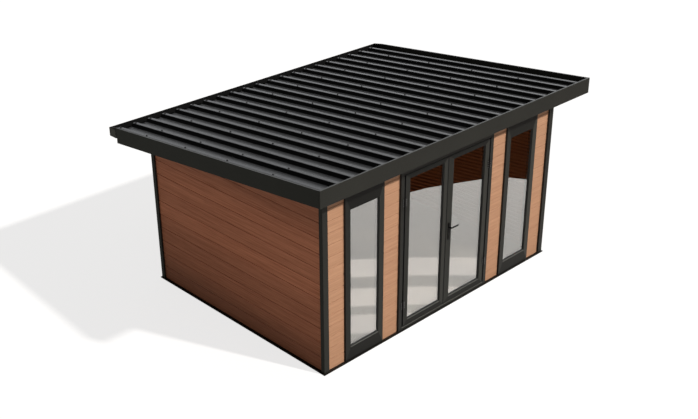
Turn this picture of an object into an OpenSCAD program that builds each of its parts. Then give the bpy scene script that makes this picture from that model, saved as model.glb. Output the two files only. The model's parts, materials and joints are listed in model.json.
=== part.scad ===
// Garden shed with a single-pitch ribbed steel roof, a fully glazed double
// door and a tall fixed window on each side of it.
// X runs along the front, Y to the back and Z up. The origin is on the
// ground, under the middle of the whole outline, gutter included.

/* [Base] */
// Length of the base along the front
base_w = 4000; // [3400:10:6000]
// Depth of the base from front to back
base_d = 3030; // [2000:10:4500]
// Height of the steel base rails
rail_h = 12; // [8:1:60]
// Ledge of the base rails outside the corner posts
base_lip = 14; // [5:1:40]
// Top of the finished floor above the ground
floor_top = 60; // [60:1:140]

/* [Walls] */
// Thickness of a wall with its cladding and lining
wall_t = 100; // [90:1:180]
// Set-back of the cladding behind the faces of the posts and frames
cladding_recess = 24; // [18:1:35]
// Face of a corner post along the front and back
post_w = 75; // [60:1:100]
// Face of a corner post along the sides
post_d = 55; // [50:1:100]
// Width of the clad strip between a corner post and a window
outer_pier_w = 255; // [160:1:400]
// Width of the clad strip between a window and the door frame
inner_pier_w = 264; // [60:1:400]

/* [Windows] */
// Width of a window stile
window_stile = 76; // [40:1:100]
// Height of the bottom rail of a window
window_sill_h = 168; // [60:1:400]
// Height of the top rail of a window
window_head_h = 184; // [60:1:300]

/* [Door frame] */
// Width of the frame round both door leaves
door_w = 1604; // [1200:1:1900]
// Top of the door and window frames above the ground
frame_top = 2068; // [1900:1:2400]
// Width of a door jamb
jamb_w = 54; // [40:1:90]
// Height of the door head
head_h = 60; // [40:1:90]
// How far the door stop reaches out from the jambs and the head
stop_reach = 28; // [25:1:40]
// Thickness of the door stop
stop_t = 14; // [8:1:20]
// Gap between the closed leaves and the stop
stop_gap = 8; // [6:1:12]
// Height of the threshold where the leaves pass over it
threshold_h = 42; // [16:1:42]

/* [Door leaves] */
// Running gap round the leaves
leaf_gap = 6; // [5:0.5:10]
// Running gap on the hinge side of the leaves
hinge_gap = 20; // [10:0.5:22]
// Gap between the two leaves where they meet
meeting_gap = 9; // [8:0.5:16]
// Distance of the meeting line to the left of the middle
meeting_shift = 13; // [0:1:30]
// Distance from the middle of the doorway to the clear glass of each leaf
sight_x = 82; // [60:1:110]
// Width of a stile on the hinge side
hinge_stile = 72; // [50:1:110]
// Height of the bottom rail of a leaf
leaf_sill_h = 68; // [50:1:300]
// Height of the top rail of a leaf
leaf_head_h = 60; // [50:1:200]

/* [Glass] */
// Thickness of a sealed glass unit
glass_t = 28; // [14:1:36]
// Set-back of the glass behind the face of its frame
glass_recess = 18; // [12:1:40]
// Depth of a leaf behind its glass
leaf_lip = 14; // [4:1:20]
// Depth of a window frame behind its glass
window_lip = 24; // [6:1:40]
// How far the glass reaches into its frame
glass_bite = 14; // [8:1:24]

/* [Hinges and handle] */
// Height of a hinge
hinge_h = 100; // [70:1:140]
// Radius of a hinge barrel
barrel_r = 9; // [7:0.5:12]
// Radius of a hinge pin
hinge_pin_r = 4; // [3:0.5:5]
// Reach of a hinge plate from the middle of its barrel
hinge_reach = 34; // [28:1:50]
// Thickness of a hinge plate
hinge_plate_t = 3; // [2:0.5:4]
// Distance from the bottom of a leaf to the middle of its lower hinge
hinge_foot = 288; // [150:1:600]
// Distance from the top of a leaf to the middle of its upper hinge
hinge_head = 330; // [150:1:600]
// Height of the lever's spindle above the floor
lever_h = 1028; // [850:1:1150]
// Length of the lever
lever_len = 120; // [90:1:150]
// Radius of the lever
lever_r = 9; // [6:0.5:12]
// Distance of the lever from the face of the leaf
lever_out = 46; // [35:1:60]
// Width of a handle plate
plate_w = 32; // [26:1:40]
// Height of a handle plate
plate_h = 220; // [160:1:260]
// Thickness of a handle plate
plate_t = 6; // [3:1:10]

/* [Roof] */
// Overhang of the roof at each side of the base
roof_side = 278.5; // [60:0.5:600]
// Overhang of the roof in front of the base
roof_front = 272; // [60:1:600]
// Overhang of the roof behind the base
roof_back = 232; // [60:1:500]
// Height from the frames to the ceiling, at the front of the base
header_h = 140.7; // [60:0.1:400]
// Fall of the roof to the back in degrees
pitch = 5.94; // [2:0.01:9]
// Height of the fascias
fascia_h = 195; // [150:1:260]
// Thickness of the fascias
fascia_t = 20; // [10:1:40]
// Thickness of the ceiling and soffit board
ceiling_t = 12; // [6:1:25]

/* [Roof sheet] */
// Distance from rib to rib
rib_pitch = 214.8; // [180:0.2:300]
// Height of a rib
rib_h = 40; // [20:1:60]
// Width of the flat top of a rib
rib_crown = 46; // [20:1:60]
// Width of each sloping side of a rib
rib_web = 30; // [10:1:40]
// Thickness of the sheet
sheet_t = 2; // [1:0.5:3]
// Distance from the left edge of the sheet to the middle of its first rib
first_rib = 70; // [0:1:200]
// Depth of the rib tops below the top edge of the fascias
sheet_drop = 25; // [0:1:40]
// Reach of the sheet over the near wall of the gutter
sheet_drip = 40; // [5:1:60]

/* [Gutter] */
// Width of the gutter from front to back
gutter_w = 126; // [90:1:160]
// Height of the far wall of the gutter
gutter_h = 108; // [90:1:130]
// Thickness of the gutter wall
gutter_t = 3; // [2:0.5:5]
// Gap between the back fascia and the gutter
gutter_gap = 20; // [6:1:30]
// Drop of the far wall's edge below the top of the side fascias
gutter_drop = 30; // [20:1:40]
// Clearance between the sheet and the near wall of the gutter
gutter_clear = 6; // [3:1:15]
// Width of a gutter bracket
bracket_w = 30; // [20:1:60]
// Thickness of a gutter bracket
bracket_t = 4; // [2:0.5:6]
// Number of gutter brackets
bracket_count = 6; // [3:1:9]
// Distance from the ends of the gutter to the first and last bracket
bracket_inset = 260; // [60:1:500]

/* [Hidden] */
$fn = 64;

// Outline from front to back, and the places that follow from it.
gutter_reach = gutter_gap + gutter_w + bracket_t;
total_d = roof_front + base_d + roof_back + gutter_reach;
roof_w = base_w + 2 * roof_side;
roof_y0 = -total_d / 2;
roof_y1 = roof_y0 + roof_front + base_d + roof_back;
roof_x = roof_w / 2;
base_x = base_w / 2;
base_y0 = roof_y0 + roof_front;
base_y1 = base_y0 + base_d;

// Faces of the posts and frames, of the cladding and of the lining.
post_x = base_x - base_lip;
post_y0 = base_y0 + base_lip;
post_y1 = base_y1 - base_lip;
clad_x = post_x - cladding_recess;
clad_y0 = post_y0 + cladding_recess;
clad_y1 = post_y1 - cladding_recess;
room_x = clad_x - wall_t;
room_y0 = clad_y0 + wall_t;
room_y1 = clad_y1 - wall_t;

// The front from a corner to the middle.
pier_x = post_x - post_w;
window_x1 = pier_x - outer_pier_w;
door_x = door_w / 2;
window_x0 = door_x + inner_pier_w;
window_d = glass_recess + glass_t + window_lip;

// The doorway and its two leaves.
jamb_x = door_x - jamb_w;
head_z = frame_top - head_h;
leaf_t = glass_recess + glass_t + leaf_lip;
jamb_d = leaf_t + stop_gap + stop_t;
leaf_x = jamb_x - hinge_gap;
leaf_z0 = rail_h + threshold_h + leaf_gap;
leaf_z1 = head_z - leaf_gap;
stop_y = post_y0 + jamb_d - stop_t;
hinge_x = leaf_x + hinge_gap / 2;
hinge_y = post_y0 - barrel_r;
hinge_low_z = leaf_z0 + hinge_foot;
hinge_high_z = leaf_z1 - hinge_head;
hinge_clear = 5;
knuckle_gap = 0.6;
run_gap = 0.05;
knuckle_h = hinge_h / 3;
lever_x = (sight_x - meeting_shift + meeting_gap / 2) / 2;
lever_z = floor_top + lever_h;
spindle_r = 5;
plate_above = 0.24;

// Layers of the roof, as depths below the top edges of the side fascias.
// Sloping faces that meet keep a hair's clearance.
seat = 0.1;
fall = tan(pitch);
roof_top = frame_top + header_h + fascia_h + roof_front * fall;
sheet_depth = sheet_drop + rib_h / cos(pitch);
panel_depth = sheet_drop + (rib_h + sheet_t) / cos(pitch) + seat;
ceiling_depth = fascia_h - ceiling_t;
sheet_w = roof_w - 2 * (fascia_t + seat);
sheet_y0 = roof_y0 + fascia_t + rib_h * fall + 2;
sheet_y1 = roof_y1 + gutter_gap + gutter_t + sheet_drip;
sheet_len = (sheet_y1 - sheet_y0) / cos(pitch);
rib_count = ceil((sheet_w - first_rib + rib_crown / 2 + rib_web) / rib_pitch);

// The gutter hangs level behind the back fascia.
gutter_y0 = roof_y1 + gutter_gap;
gutter_z1 = roof_z(roof_y1) - gutter_drop;
gutter_z0 = gutter_z1 - gutter_h;
gutter_near_z = roof_z(gutter_y0 + gutter_t) - panel_depth - gutter_clear;
gutter_round = 18;
bracket_lip = 12;

black = [0.20, 0.20, 0.19];
cedar = [0.70, 0.50, 0.38];
pane = [0.75, 0.80, 0.82, 0.4];
board = [0.85, 0.82, 0.76];
steel = [0.28, 0.29, 0.30];

// Height of the top edges of the side fascias at this depth y.
function roof_z(y) = roof_top - (y - roof_y0) * fall;

module block(x0, x1, y0, y1, z0, z1) {
    translate([x0, y0, z0]) cube([x1 - x0, y1 - y0, z1 - z0]);
}

// Draws its children at the given side of the middle, -1 for left, 1 for right.
module at_side(side) {
    if (side < 0) mirror([1, 0, 0]) children();
    else children();
}

// A slab between two depths below the roof plane, with upright edges.
module roof_layer(x0, x1, y0, y1, top, bottom) {
    translate([x0, 0, 0]) rotate([90, 0, 90]) linear_extrude(x1 - x0) polygon([
        [y0, roof_z(y0) - bottom], [y1, roof_z(y1) - bottom],
        [y1, roof_z(y1) - top], [y0, roof_z(y0) - top]
    ]);
}

// An upright piece of this plan from the base rails to the ceiling.
module up_to_ceiling(points, z0 = rail_h) {
    intersection() {
        translate([0, 0, z0]) linear_extrude(roof_top) polygon(points);
        translate([-base_x, 0, 0]) rotate([90, 0, 90]) linear_extrude(base_w) polygon([
            [base_y0, 0], [base_y1, 0],
            [base_y1, roof_z(base_y1) - fascia_h - seat], [base_y0, roof_z(base_y0) - fascia_h - seat]
        ]);
    }
}

// Base: four steel rails with the floor panel inside them.
module base_rail(y0, y1) {
    color(black) block(-base_x, base_x, y0, y1, 0, rail_h);
}

module side_rail(side) {
    color(black) at_side(side) block(room_x, base_x, room_y0, room_y1, 0, rail_h);
}

module floor_panel() {
    color(board) block(-room_x, room_x, room_y0, room_y1, 0, floor_top);
}

// Walls: clad panels between the corner posts.
module side_wall(side) {
    y0 = post_y0 + post_d;
    y1 = post_y1 - post_d;
    color(cedar) at_side(side)
        up_to_ceiling([[room_x, y0], [clad_x, y0], [clad_x, y1], [room_x, y1]]);
}

module back_wall() {
    y_post = post_y1 - post_d;
    color(cedar) up_to_ceiling([
        [-pier_x, clad_y1], [-pier_x, y_post], [-room_x, y_post], [-room_x, room_y1],
        [room_x, room_y1], [room_x, y_post], [pier_x, y_post], [pier_x, clad_y1]
    ]);
}

module corner_post(side, y0) {
    color(black) at_side(side)
        up_to_ceiling([[pier_x, y0], [post_x, y0], [post_x, y0 + post_d], [pier_x, y0 + post_d]]);
}

// The outer pier laps behind its post to meet the side wall.
module outer_pier(side) {
    y_post = post_y0 + post_d;
    color(cedar) at_side(side) translate([0, 0, rail_h]) linear_extrude(frame_top - rail_h) polygon([
        [window_x1, clad_y0], [pier_x, clad_y0], [pier_x, y_post], [room_x, y_post],
        [room_x, room_y0], [window_x1, room_y0]
    ]);
}

module inner_pier(side) {
    color(cedar) at_side(side) block(door_x, window_x0, clad_y0, room_y0, rail_h, frame_top);
}

module front_header() {
    y_post = post_y0 + post_d;
    color(cedar) up_to_ceiling([
        [-pier_x, clad_y0], [pier_x, clad_y0], [pier_x, y_post], [room_x, y_post],
        [room_x, room_y0], [-room_x, room_y0], [-room_x, y_post], [-pier_x, y_post]
    ], frame_top);
}

// A glazed frame: stiles, rails and a groove all round for the glass.
module glazed_frame(x0, x1, z0, z1, depth, left, right, bottom, top) {
    difference() {
        block(x0, x1, post_y0, post_y0 + depth, z0, z1);
        block(x0 + left, x1 - right, post_y0 - 1, post_y0 + depth + 1, z0 + bottom, z1 - top);
        glass_unit(x0, x1, z0, z1, left, right, bottom, top);
    }
}

module glass_unit(x0, x1, z0, z1, left, right, bottom, top) {
    y0 = post_y0 + glass_recess;
    block(x0 + left - glass_bite, x1 - right + glass_bite, y0, y0 + glass_t,
        z0 + bottom - glass_bite, z1 - top + glass_bite);
}

module window_frame(side) {
    color(black) at_side(side) glazed_frame(window_x0, window_x1, rail_h, frame_top, window_d,
        window_stile, window_stile, window_sill_h, window_head_h);
}

module window_glass(side) {
    color(pane) at_side(side) glass_unit(window_x0, window_x1, rail_h, frame_top,
        window_stile, window_stile, window_sill_h, window_head_h);
}

// Door frame: two jambs and a head, with a stop behind the leaves.
module door_frame() {
    y1 = post_y0 + jamb_d;
    color(black) difference() {
        block(-door_x, door_x, post_y0, y1, rail_h, frame_top);
        block(-jamb_x, jamb_x, post_y0 - 1, stop_y, 0, head_z);
        block(-jamb_x + stop_reach, jamb_x - stop_reach, post_y0 - 1, y1 + 1, 0, head_z - stop_reach);
    }
}

// The threshold is low under the leaves and rises to the floor behind them.
module door_threshold() {
    low = rail_h + threshold_h;
    color(black) {
        block(-jamb_x, jamb_x, post_y0, stop_y, rail_h, low);
        block(-jamb_x + stop_reach, jamb_x - stop_reach, stop_y - 0.01, room_y0, rail_h, floor_top);
    }
}

// Left and right edges and stiles of a leaf, for its frame and its glass.
function leaf_x0(side) = side < 0 ? -leaf_x : -meeting_shift + meeting_gap / 2;
function leaf_x1(side) = side < 0 ? -meeting_shift - meeting_gap / 2 : leaf_x;
function leaf_left(side) = side < 0 ? hinge_stile : sight_x - leaf_x0(side);
function leaf_right(side) = side < 0 ? sight_x + leaf_x1(side) : hinge_stile;

module door_leaf(side) {
    color(black) difference() {
        glazed_frame(leaf_x0(side), leaf_x1(side), leaf_z0, leaf_z1, leaf_t,
            leaf_left(side), leaf_right(side), leaf_sill_h, leaf_head_h);
        if (side > 0) spindle_bar(post_y0 - 1, post_y0 + leaf_t + 1, spindle_r + run_gap);
    }
}

module door_glass(side) {
    color(pane) glass_unit(leaf_x0(side), leaf_x1(side), leaf_z0, leaf_z1,
        leaf_left(side), leaf_right(side), leaf_sill_h, leaf_head_h);
}

// Hinges: plates on the faces of jamb and leaf, with a barrel in front.
module at_hinges(side) {
    at_side(side) for (z = [hinge_low_z, hinge_high_z]) translate([hinge_x, hinge_y, z]) children();
}

// A knuckle and its plate. The plate reaches to X for the frame, to -X for the leaf.
module knuckle(z0, z1, way) {
    translate([0, 0, z0]) cylinder(h = z1 - z0, r = barrel_r);
    block(min(0, way * (barrel_r + hinge_clear)), max(0, way * (barrel_r + hinge_clear)),
        barrel_r - hinge_plate_t, barrel_r, z0, z1);
}

module hinge_plate(way) {
    near = way * (barrel_r + hinge_clear);
    far = way * hinge_reach;
    block(min(near, far), max(near, far), barrel_r - hinge_plate_t, barrel_r,
        -hinge_h / 2, hinge_h / 2);
}

module frame_hinges(side) {
    color(steel) at_hinges(side) {
        knuckle(-hinge_h / 2, -knuckle_h / 2 - knuckle_gap, 1);
        knuckle(knuckle_h / 2 + knuckle_gap, hinge_h / 2, 1);
        hinge_plate(1);
        translate([0, 0, -hinge_h / 2]) cylinder(h = hinge_h, r = hinge_pin_r);
    }
}

module leaf_hinges(side) {
    color(steel) at_hinges(side) difference() {
        union() {
            knuckle(-knuckle_h / 2, knuckle_h / 2, -1);
            hinge_plate(-1);
        }
        translate([0, 0, -hinge_h]) cylinder(h = 2 * hinge_h, r = hinge_pin_r + run_gap);
    }
}

// Handle: a plate on each face of the right leaf and a lever on each side.
module spindle_bar(y0, y1, r) {
    translate([lever_x, y1, lever_z]) rotate([90, 0, 0]) cylinder(h = y1 - y0, r = r);
}

module handle_plates() {
    z1 = lever_z + plate_h * plate_above;
    color(steel) for (y0 = [post_y0 - plate_t, post_y0 + leaf_t]) difference() {
        block(lever_x - plate_w / 2, lever_x + plate_w / 2, y0, y0 + plate_t, z1 - plate_h, z1);
        spindle_bar(y0 - 1, y0 + plate_t + 1, spindle_r + run_gap);
    }
}

// One lever, drawn for the outside: neck and grip.
module lever_grip() {
    grip_y = post_y0 - lever_out;
    neck_y = post_y0 - plate_t - knuckle_gap;
    translate([lever_x, neck_y, lever_z]) rotate([90, 0, 0])
        cylinder(h = neck_y - grip_y, r = lever_r);
    translate([lever_x, grip_y, lever_z]) sphere(r = lever_r);
    translate([lever_x, grip_y, lever_z]) rotate([0, 90, 0])
        cylinder(h = lever_len - lever_r, r = lever_r);
    translate([lever_x + lever_len - lever_r, grip_y, lever_z]) sphere(r = lever_r);
}

module door_lever() {
    middle = post_y0 + leaf_t / 2;
    color(steel) {
        lever_grip();
        translate([0, 2 * middle, 0]) mirror([0, 1, 0]) lever_grip();
        spindle_bar(post_y0 - lever_out, post_y0 + leaf_t + lever_out, spindle_r);
    }
}

// Roof: insulated panel, board below it and ribbed sheet above it.
module roof_panel() {
    color(board) roof_layer(-roof_x + fascia_t, roof_x - fascia_t,
        roof_y0 + fascia_t, roof_y1 - fascia_t, panel_depth, ceiling_depth);
}

module ceiling() {
    color(board) roof_layer(-roof_x + fascia_t, roof_x - fascia_t,
        roof_y0 + fascia_t, roof_y1 - fascia_t, ceiling_depth, fascia_h);
}

// Points along the ribs from left to right, pans at this height.
function sheet_line(lift) = [for (n = [0:rib_count - 1], p = [
    [-rib_crown / 2 - rib_web, 0], [-rib_crown / 2, rib_h],
    [rib_crown / 2, rib_h], [rib_crown / 2 + rib_web, 0]
]) [first_rib + n * rib_pitch + p[0], p[1] + lift]];

function reversed(list) = [for (i = [len(list) - 1:-1:0]) list[i]];

// The ribs run on past both edges, where the sheet is cut to its width.
module sheet_section() {
    far = 2 * rib_pitch;
    intersection() {
        polygon(concat(
            [[-far, 0]], sheet_line(0), [[sheet_w + far, 0], [sheet_w + far, -sheet_t]],
            reversed(sheet_line(-sheet_t)), [[-far, -sheet_t]]
        ));
        translate([0, -sheet_t - 1]) square([sheet_w, rib_h + sheet_t + 2]);
    }
}

module roof_sheet() {
    color(black) translate([-sheet_w / 2, sheet_y0, roof_z(sheet_y0) - sheet_depth])
        rotate([-pitch, 0, 0]) translate([0, sheet_len, 0]) rotate([90, 0, 0])
            linear_extrude(sheet_len) sheet_section();
}

module fascia_front() {
    color(black) block(-roof_x, roof_x, roof_y0, roof_y0 + fascia_t,
        roof_top - fascia_h, roof_top);
}

module fascia_back() {
    color(black) roof_layer(-roof_x + fascia_t, roof_x - fascia_t, roof_y1 - fascia_t, roof_y1,
        panel_depth, fascia_h);
}

module fascia_side(side) {
    color(black) at_side(side)
        roof_layer(roof_x - fascia_t, roof_x, roof_y0 + fascia_t, roof_y1, 0, fascia_h);
}

// The gutter in section, its lower far edge round, drawn in by an inset.
module gutter_section(inset, top) {
    w = gutter_w - inset;
    r = gutter_round - inset;
    translate([inset, inset + r]) square([w - inset, top - inset - r]);
    translate([inset, inset]) square([w - inset - r, r]);
    translate([w - r, inset + r]) circle(r = r);
}

module gutter_bar(x0, x1) {
    translate([x0, gutter_y0, gutter_z0]) rotate([90, 0, 90]) linear_extrude(x1 - x0) children();
}

// The near wall stops under the sheet and the end caps are full height.
module gutter() {
    end = roof_x - gutter_t;
    color(black) difference() {
        gutter_bar(-roof_x, roof_x) gutter_section(0, gutter_h);
        gutter_bar(-end, end) gutter_section(gutter_t, gutter_h + 1);
        block(-end, end, gutter_y0 - 1, gutter_y0 + gutter_t + 1, gutter_near_z, gutter_z1 + 1);
    }
}

// A strap round the gutter, with a block that spaces it from the fascia.
module bracket_section() {
    near_h = gutter_near_z - gutter_z0;
    difference() {
        union() {
            translate([-gutter_gap, -bracket_t]) square([gutter_gap, near_h + bracket_t]);
            translate([-gutter_gap, -bracket_t])
                square([gutter_gap + gutter_w - gutter_round, gutter_round + bracket_t]);
            translate([gutter_w - gutter_round, gutter_round])
                square([gutter_round + bracket_t, gutter_h - gutter_round - bracket_lip]);
            translate([gutter_w - gutter_round, gutter_round]) circle(r = gutter_round + bracket_t);
        }
        gutter_section(0, gutter_h + 1);
    }
}

module gutter_brackets() {
    step = (roof_w - 2 * bracket_inset) / (bracket_count - 1);
    color(black) for (n = [0:bracket_count - 1]) {
        x = -roof_x + bracket_inset + n * step;
        gutter_bar(x - bracket_w / 2, x + bracket_w / 2) bracket_section();
    }
}

base_rail(base_y0, room_y0);  // base_rail_front
base_rail(room_y1, base_y1);  // base_rail_back
side_rail(-1);  // base_rail_left
side_rail(1);  // base_rail_right
floor_panel();  // floor
side_wall(-1);  // left_wall
side_wall(1);  // right_wall
back_wall();
front_header();
outer_pier(-1);  // outer_pier_left
outer_pier(1);  // outer_pier_right
inner_pier(-1);  // inner_pier_left
inner_pier(1);  // inner_pier_right
corner_post(-1, post_y0);  // corner_post_front_left
corner_post(1, post_y0);  // corner_post_front_right
corner_post(-1, post_y1 - post_d);  // corner_post_back_left
corner_post(1, post_y1 - post_d);  // corner_post_back_right
window_frame(-1);  // window_frame_left
window_frame(1);  // window_frame_right
window_glass(-1);  // window_glass_left
window_glass(1);  // window_glass_right
door_frame();
door_threshold();
door_leaf(-1);  // door_leaf_left
door_leaf(1);  // door_leaf_right
door_glass(-1);  // door_glass_left
door_glass(1);  // door_glass_right
frame_hinges(-1);  // frame_hinges_left
frame_hinges(1);  // frame_hinges_right
leaf_hinges(-1);  // leaf_hinges_left
leaf_hinges(1);  // leaf_hinges_right
handle_plates();
door_lever();
roof_panel();
ceiling();
roof_sheet();
fascia_front();
fascia_back();
fascia_side(-1);  // fascia_left
fascia_side(1);  // fascia_right
gutter();
gutter_brackets();
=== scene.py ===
"""Finishes and fine detail of a garden shed, built round its packed construction model.

Metres throughout. X runs along the front, Y to the back and Z up.
"""
import json
from math import atan, ceil, cos, pi, radians, sin

import bmesh
import bpy
from mathutils import Matrix, Vector


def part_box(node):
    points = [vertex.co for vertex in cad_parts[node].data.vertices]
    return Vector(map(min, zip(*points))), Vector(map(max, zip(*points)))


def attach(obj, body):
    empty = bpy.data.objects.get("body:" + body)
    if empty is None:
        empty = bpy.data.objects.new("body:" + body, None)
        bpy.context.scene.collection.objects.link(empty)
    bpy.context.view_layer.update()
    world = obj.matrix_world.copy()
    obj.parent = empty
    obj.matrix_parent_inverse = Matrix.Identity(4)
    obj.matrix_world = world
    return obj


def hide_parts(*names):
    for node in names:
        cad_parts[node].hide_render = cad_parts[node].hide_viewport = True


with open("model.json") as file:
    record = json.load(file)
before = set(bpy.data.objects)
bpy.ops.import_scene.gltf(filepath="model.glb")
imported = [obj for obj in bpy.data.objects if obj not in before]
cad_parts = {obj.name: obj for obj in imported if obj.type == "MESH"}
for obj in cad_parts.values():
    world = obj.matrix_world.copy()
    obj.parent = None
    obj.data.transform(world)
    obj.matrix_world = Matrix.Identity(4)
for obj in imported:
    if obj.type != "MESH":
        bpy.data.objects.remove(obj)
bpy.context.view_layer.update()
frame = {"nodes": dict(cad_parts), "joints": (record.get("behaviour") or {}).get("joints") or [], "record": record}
SCENE = bpy.context.scene
BEHAVIOUR = frame["record"]["behaviour"]
BODY_OF = {node: body for body, nodes in BEHAVIOUR["bodies"].items() for node in nodes}

MM = 0.001
X, Y, Z = Vector((1, 0, 0)), Vector((0, 1, 0)), Vector((0, 0, 1))

# ------------ sizes

def mm(*sizes):
    """Sizes in millimetres as metres."""
    return [size * MM for size in sizes]


# Broad cladding boards on the sides and back, narrower tight ones on the front, and lining
# boards inside: pitch, first joint, thickness, groove, groove depth, eased edge.
BROAD = mm(183.5, 0, 20, 4.5, 9, 2.5)
NARROW = mm(142, 1, 20, 4.6, 8, 1.6)
LINING_SIZES = mm(59, 8.6, 12, 4, 4, 1)
BOARD_T, LINING_T = BROAD[2], LINING_SIZES[2]

# How far frame members are eased and stand apart at their mitres, and where the middle point
# of any eased edge lies, as a share of its ease.
FRAME_EASE, MITRE_GAP, BOW = *mm(1.6, 0.15), 0.3

# Seals and strips: how far they lap a neighbour so that no gap shows, stand proud of a face,
# are let into it, and start behind it where they line a gap; and the thickness of a liner.
LAP, PROUD, SUNK, SETBACK, LINER_T = mm(0.2, 0.6, 1, 3, 1)

# Glazing: how far the sealed unit runs into its members, and its panes and spacer bar.
GLASS_BITE, PANE_T, SPACER_W = mm(14, 4, 7)

# Door: gaps from leaf to jamb, to head and threshold, and to the stop, and the stop's reach.
HINGE_GAP, HEAD_GAP, STOP_GAP, STOP_REACH = mm(20, 6, 8, 28)

# Roof sheet: its ribs, the first rib's place from the left, the radius of the bends, and how
# far the crowns lie under the side fascias' top edges.
RIB_PITCH, RIB_H, RIB_CROWN, RIB_WEB = mm(214.8, 40, 46, 30)
FIRST_RIB, RIB_BEND, SHEET_T, SHEET_DROP = mm(70, 5, 1.2, 27)

# Gutter: its end caps, and the play that keeps them apart from the channel.
CAP_T, CAP_PLAY = mm(1.1, 0.1)

# Barrel hinges: pin radius, plate thickness, half their height, and how far their plates'
# screws sit from the axis and from the middle.
PIN_R, HINGE_PLATE_T, HINGE_HALF, SCREW_OUT = mm(9, 3, 50, 25)
SCREW_RISES = mm(-36, -12, 12, 36)

# Door handle: the keyhole and the plate's screws, measured up from the lever.
KEY_RISE, *PLATE_SCREW_RISES = mm(-92, -160, 40)

# A face counts as looking up where its normal rises more than this.
UPWARD = 0.6

# Planes of the roof, taken from the fascias, and of the walls.
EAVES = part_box("fascia_front")
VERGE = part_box("fascia_left")
FASCIA_H = EAVES[1].z - EAVES[0].z
FALL = (VERGE[1].z - VERGE[0].z - FASCIA_H) / (VERGE[1].y - VERGE[0].y)
ROOF_NORMAL = Vector((0, FALL, 1)).normalized()
DOWN_SLOPE = Vector((0, 1, -FALL)).normalized()
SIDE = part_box("left_wall")
CEILING_Z = SIDE[1].z + (SIDE[0].y - EAVES[0].y) * FALL
ROOM = (SIDE[1].x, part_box("right_wall")[0].x)


def roof_z(y):
    """Height of the top edges of the side fascias at this y."""
    return EAVES[1].z - (y - EAVES[0].y) * FALL


# ------------ shader helpers: a socket or node knows its tree as its id_data

def shader_node(tree, kind, inputs=None, **settings):
    """A shader node with its settings made and its inputs filled or linked."""
    made = tree.nodes.new("ShaderNode" + kind)
    for name, value in settings.items():
        setattr(made, name, value)
    for name, value in (inputs or {}).items():
        if isinstance(value, bpy.types.NodeSocket):
            tree.links.new(value, made.inputs[name])
        else:
            made.inputs[name].default_value = value
    return made


def new_finish(name, roughness, **sockets):
    """A material with one Principled shader. Returns the material, its tree and the shader."""
    finish = bpy.data.materials.new(name)
    finish.use_nodes = True
    shader = finish.node_tree.nodes["Principled BSDF"]
    for socket, value in {"Roughness": roughness, **sockets}.items():
        shader.inputs[socket.replace("_", " ")].default_value = value
    return finish, finish.node_tree, shader


def math(operation, a, b=0):
    """The result of one sum on a socket and a value or another socket."""
    return shader_node(a.id_data, "Math", {0: a, 1: b}, operation=operation).outputs[0]


def plus(a, b):
    return math("ADD", a, b)


def times(a, b):
    return math("MULTIPLY", a, b)


def on_piece(tree):
    """A point on the piece, as a vector."""
    return shader_node(tree, "TexCoord").outputs["Object"]


def place(tree):
    """The X, Y and Z of a point on the piece."""
    return shader_node(tree, "SeparateXYZ", {0: on_piece(tree)}).outputs


def vector(x, y, z):
    """Three values as one vector."""
    return shader_node(x.id_data, "CombineXYZ", {0: x, 1: y, 2: z}).outputs[0]


def noise(spot, scale, detail=4, roughness=0.55):
    """Soft noise from 0 to 1 at this spot."""
    inputs = {"Vector": spot, "Scale": scale, "Detail": detail, "Roughness": roughness}
    return shader_node(spot.id_data, "TexNoise", inputs).outputs[0]


def ramp(fac, *stops):
    """A colour ramp of (place, colour) stops."""
    made = shader_node(fac.id_data, "ValToRGB", {0: fac})
    elements = made.color_ramp.elements
    elements.remove(elements[1])
    elements[0].position = stops[0][0]
    elements[0].color = (*stops[0][1], 1)
    for spot, colour in stops[1:]:
        elements.new(spot).color = (*colour, 1)
    return made.outputs[0]


def greys(fac, *stops):
    """A ramp of (place, brightness) stops."""
    return ramp(fac, *[(spot, (value,) * 3) for spot, value in stops])


def either(test, off, on):
    """One colour where the test is 0 and another where it is 1."""
    inputs = {0: test, 6: off, 7: on}
    return shader_node(test.id_data, "Mix", inputs, data_type="RGBA").outputs[2]


def either_shader(test, off, on):
    """One shader where the test is 0 and another where it is 1."""
    return shader_node(test.id_data, "MixShader", {0: test, 1: off, 2: on}).outputs[0]


def lit(tree, kind, colour, **strength):
    """A diffuse, clear, glowing or background shader."""
    return shader_node(tree, kind, {"Color": colour, **strength}).outputs[0]


def spread(value, low, high, end="To"):
    """A value from 0 to 1 as one from low to high."""
    inputs = {"Value": value, end + " Min": low, end + " Max": high}
    return shader_node(value.id_data, "MapRange", inputs).outputs[0]


def share(value, low, high):
    """How far a value has come from low to high, as 0 to 1."""
    return spread(value, low, high, "From")


def tinted(colour, tone):
    """The colour made lighter or darker by the tone, where 1 leaves it alone."""
    inputs = {0: colour, "Scale": tone}
    return shader_node(tone.id_data, "VectorMath", inputs, operation="SCALE").outputs[0]


def raised(shader, height, distance, strength=1):
    """Relief on the surface of a shader."""
    inputs = {"Height": height, "Distance": distance, "Strength": strength}
    feed(shader, Normal=shader_node(shader.id_data, "Bump", inputs).outputs[0])


def feed(node, **sockets):
    """Links values to a node's sockets, with _ for the spaces in their names."""
    for name, value in sockets.items():
        node.id_data.links.new(value, node.inputs[name.replace("_", " ")])


def looking_up(tree):
    """1 on faces that look up and 0 on the rest."""
    facing = shader_node(tree, "NewGeometry").outputs["True Normal"]
    return share(shader_node(tree, "SeparateXYZ", {0: facing}).outputs[2], UPWARD, 0.9)


# ------------ finishes

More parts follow.
